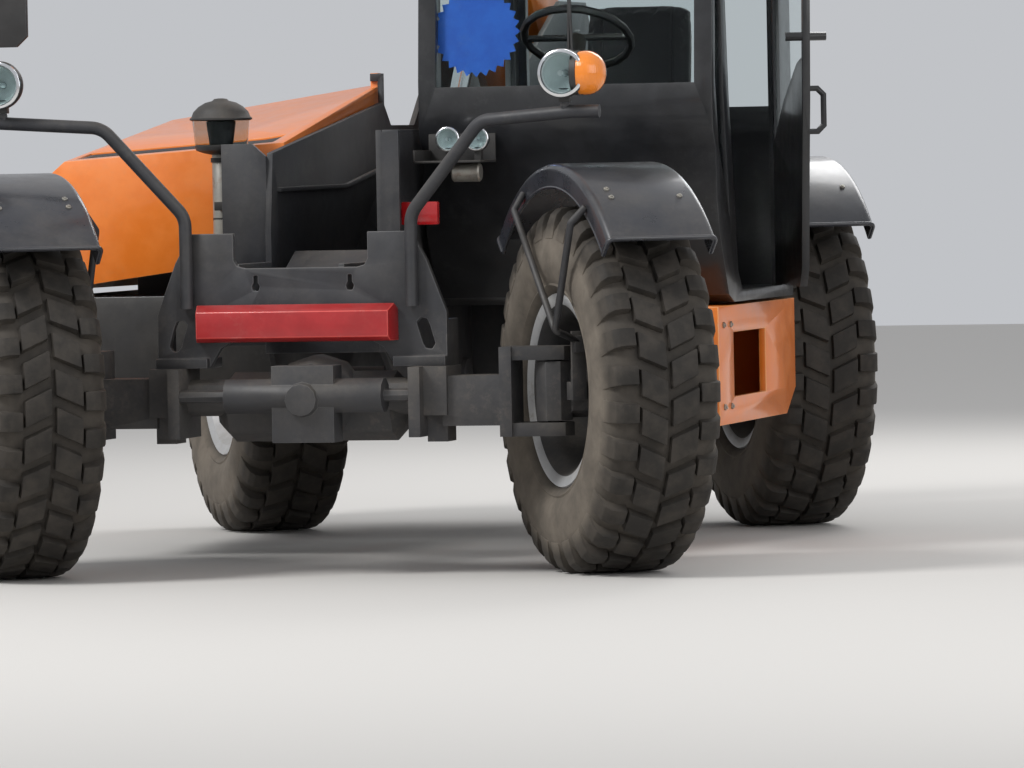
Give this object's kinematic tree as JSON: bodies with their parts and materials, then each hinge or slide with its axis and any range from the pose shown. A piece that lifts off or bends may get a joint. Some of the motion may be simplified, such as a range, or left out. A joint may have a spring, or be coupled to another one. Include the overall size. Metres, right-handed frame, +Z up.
{
  "type": "telehandler",
  "caption": "Rough-terrain telescopic handler with four steered wheels, side cab, offset telescopic boom, fork carriage and side engine hood.",
  "frame": {"origin": "on the ground, under the middle of the machine's outline as parked", "axes": "+X to the machine's left, -Y forwards, +Z up"},
  "size_m": [3.0587, 5.2051, 5.0261],
  "materials": {
    "frame_grey": "satin paint, dusty",
    "body_orange": "gloss paint, lightly dusty",
    "bumper_red": "gloss paint",
    "cab_black": "satin paint",
    "glass": "clear",
    "black_plastic": "moulded",
    "mudguard_plastic": "semi-gloss moulded",
    "tyre": "dusty tread",
    "rim_silver": "silver paint",
    "seat_cloth": "woven cloth",
    "rod_chrome": "hard chrome",
    "cast_grey": "painted casting",
    "lamp_clear": "lamp lens and black shell"
  },
  "bodies": {
    "chassis": {"side_plates": "frame_grey", "belly_plates": "frame_grey", "nose_plate": "frame_grey", "bumper_bar": "bumper_red", "counterweight": "cast_grey", "lamp_arms": "frame_grey", "front_lamps": "lamp_clear", "mirror": "black_plastic", "engine_block": "cast_grey", "fuel_tank": "black_plastic", "pre_cleaner": "black_plastic", "front_axle": "cast_grey", "rear_axle": "cast_grey", "steer_cylinders": "frame_grey", "cab_frame": "cab_black", "cab_roof": "cab_black", "cab_glass": "glass", "seat": "seat_cloth", "dashboard": "black_plastic", "access_step": "body_orange"},
    "cab_door": {"door": "cab_black", "door_glass": "glass"},
    "hood_lid": {"engine_hood": "body_orange", "hood_grille": "frame_grey"},
    "boom": {"outer_boom": "body_orange"},
    "boom_extension": {"inner_boom": "frame_grey"},
    "tool_carriage": {"carriage": "frame_grey", "forks": "frame_grey"},
    "lift_cylinder": {"lift_barrel": "frame_grey"},
    "lift_piston": {"lift_rod": "rod_chrome"},
    "front_left_steering": {"front_left_knuckle": "cast_grey", "front_left_mudguard": "mudguard_plastic"},
    "front_left_wheel": {"front_left_tyre": "tyre", "front_left_rim": "rim_silver"},
    "front_right_steering": {"front_right_knuckle": "cast_grey", "front_right_mudguard": "mudguard_plastic"},
    "front_right_wheel": {"front_right_tyre": "tyre", "front_right_rim": "rim_silver"},
    "rear_left_steering": {"rear_left_knuckle": "cast_grey", "rear_left_mudguard": "mudguard_plastic"},
    "rear_left_wheel": {"rear_left_tyre": "tyre", "rear_left_rim": "rim_silver"},
    "rear_right_steering": {"rear_right_knuckle": "cast_grey", "rear_right_mudguard": "mudguard_plastic"},
    "rear_right_wheel": {"rear_right_tyre": "tyre", "rear_right_rim": "rim_silver"}
  },
  "joints": [
    {"name": "front_left_steer", "type": "hinge", "parent": "chassis", "child": "front_left_steering", "pos_m": [0.867, -1.374, 0.615], "axis": [0, 0, 1], "range_deg": [-68.5, 1.5]},
    {"name": "front_left_spin", "type": "hinge", "parent": "front_left_steering", "child": "front_left_wheel", "pos_m": [1.02544, -1.26913, 0.615], "axis": [0.8339, 0.5519, 0], "continuous": true},
    {"name": "front_right_steer", "type": "hinge", "parent": "chassis", "child": "front_right_steering", "pos_m": [-0.867, -1.374, 0.615], "axis": [0, 0, 1], "range_deg": [-68.5, 1.5]},
    {"name": "front_right_spin", "type": "hinge", "parent": "front_right_steering", "child": "front_right_wheel", "pos_m": [-1.02544, -1.47887, 0.615], "axis": [-0.8339, -0.5519, 0], "continuous": true},
    {"name": "rear_left_steer", "type": "hinge", "parent": "chassis", "child": "rear_left_steering", "pos_m": [0.812, 1.576, 0.615], "axis": [0, 0, 1], "range_deg": [-65, 5]},
    {"name": "rear_left_spin", "type": "hinge", "parent": "rear_left_steering", "child": "rear_left_wheel", "pos_m": [0.97654, 1.671, 0.615], "axis": [0.866, 0.5, 0], "continuous": true},
    {"name": "rear_right_steer", "type": "hinge", "parent": "chassis", "child": "rear_right_steering", "pos_m": [-0.812, 1.576, 0.615], "axis": [0, 0, 1], "range_deg": [-65, 5]},
    {"name": "rear_right_spin", "type": "hinge", "parent": "rear_right_steering", "child": "rear_right_wheel", "pos_m": [-0.97654, 1.481, 0.615], "axis": [-0.866, -0.5, 0], "continuous": true},
    {"name": "door_swing", "type": "hinge", "parent": "chassis", "child": "cab_door", "pos_m": [1.234, 0.60879, 1.5], "axis": [0, 0, 1], "range_deg": [-20, 75]},
    {"name": "hood_lift", "type": "hinge", "parent": "chassis", "child": "hood_lid", "pos_m": [-0.32, 0.76279, 1.695], "axis": [0, 1, 0], "range_deg": [0, 60]},
    {"name": "boom_lift", "type": "hinge", "parent": "chassis", "child": "boom", "pos_m": [-0.08, 1.926, 1.801], "axis": [-1, 0, 0], "range_deg": [-57.5, 11.5]},
    {"name": "boom_slide", "type": "slide", "parent": "boom", "child": "boom_extension", "axis": [0, -0.6626, 0.749], "range_m": [0, 2.4]},
    {"name": "carriage_tilt", "type": "hinge", "parent": "boom_extension", "child": "tool_carriage", "pos_m": [-0.08, -1.21881, 4.70662], "axis": [-1, 0, 0], "range_deg": [-40, 60]},
    {"name": "lift_barrel_swing", "type": "hinge", "parent": "chassis", "child": "lift_cylinder", "pos_m": [-0.08, 0.176, 0.621], "axis": [-1, 0, 0], "range_deg": [-3.72, 16.6]},
    {"name": "lift_rod_slide", "type": "slide", "parent": "lift_cylinder", "child": "lift_piston", "axis": [0, 0.6402, 0.7682], "range_m": [-0.4034, 0.0823]}
  ],
  "couplings": [
    {"joint": "lift_barrel_swing", "follows": "boom_lift", "ratio": -0.28},
    {"joint": "lift_rod_slide", "follows": "boom_lift", "m_per_rad": 0.4},
    {"joint": "front_right_steer", "follows": "front_left_steer", "ratio": 1},
    {"joint": "rear_right_steer", "follows": "rear_left_steer", "ratio": 1}
  ]
}
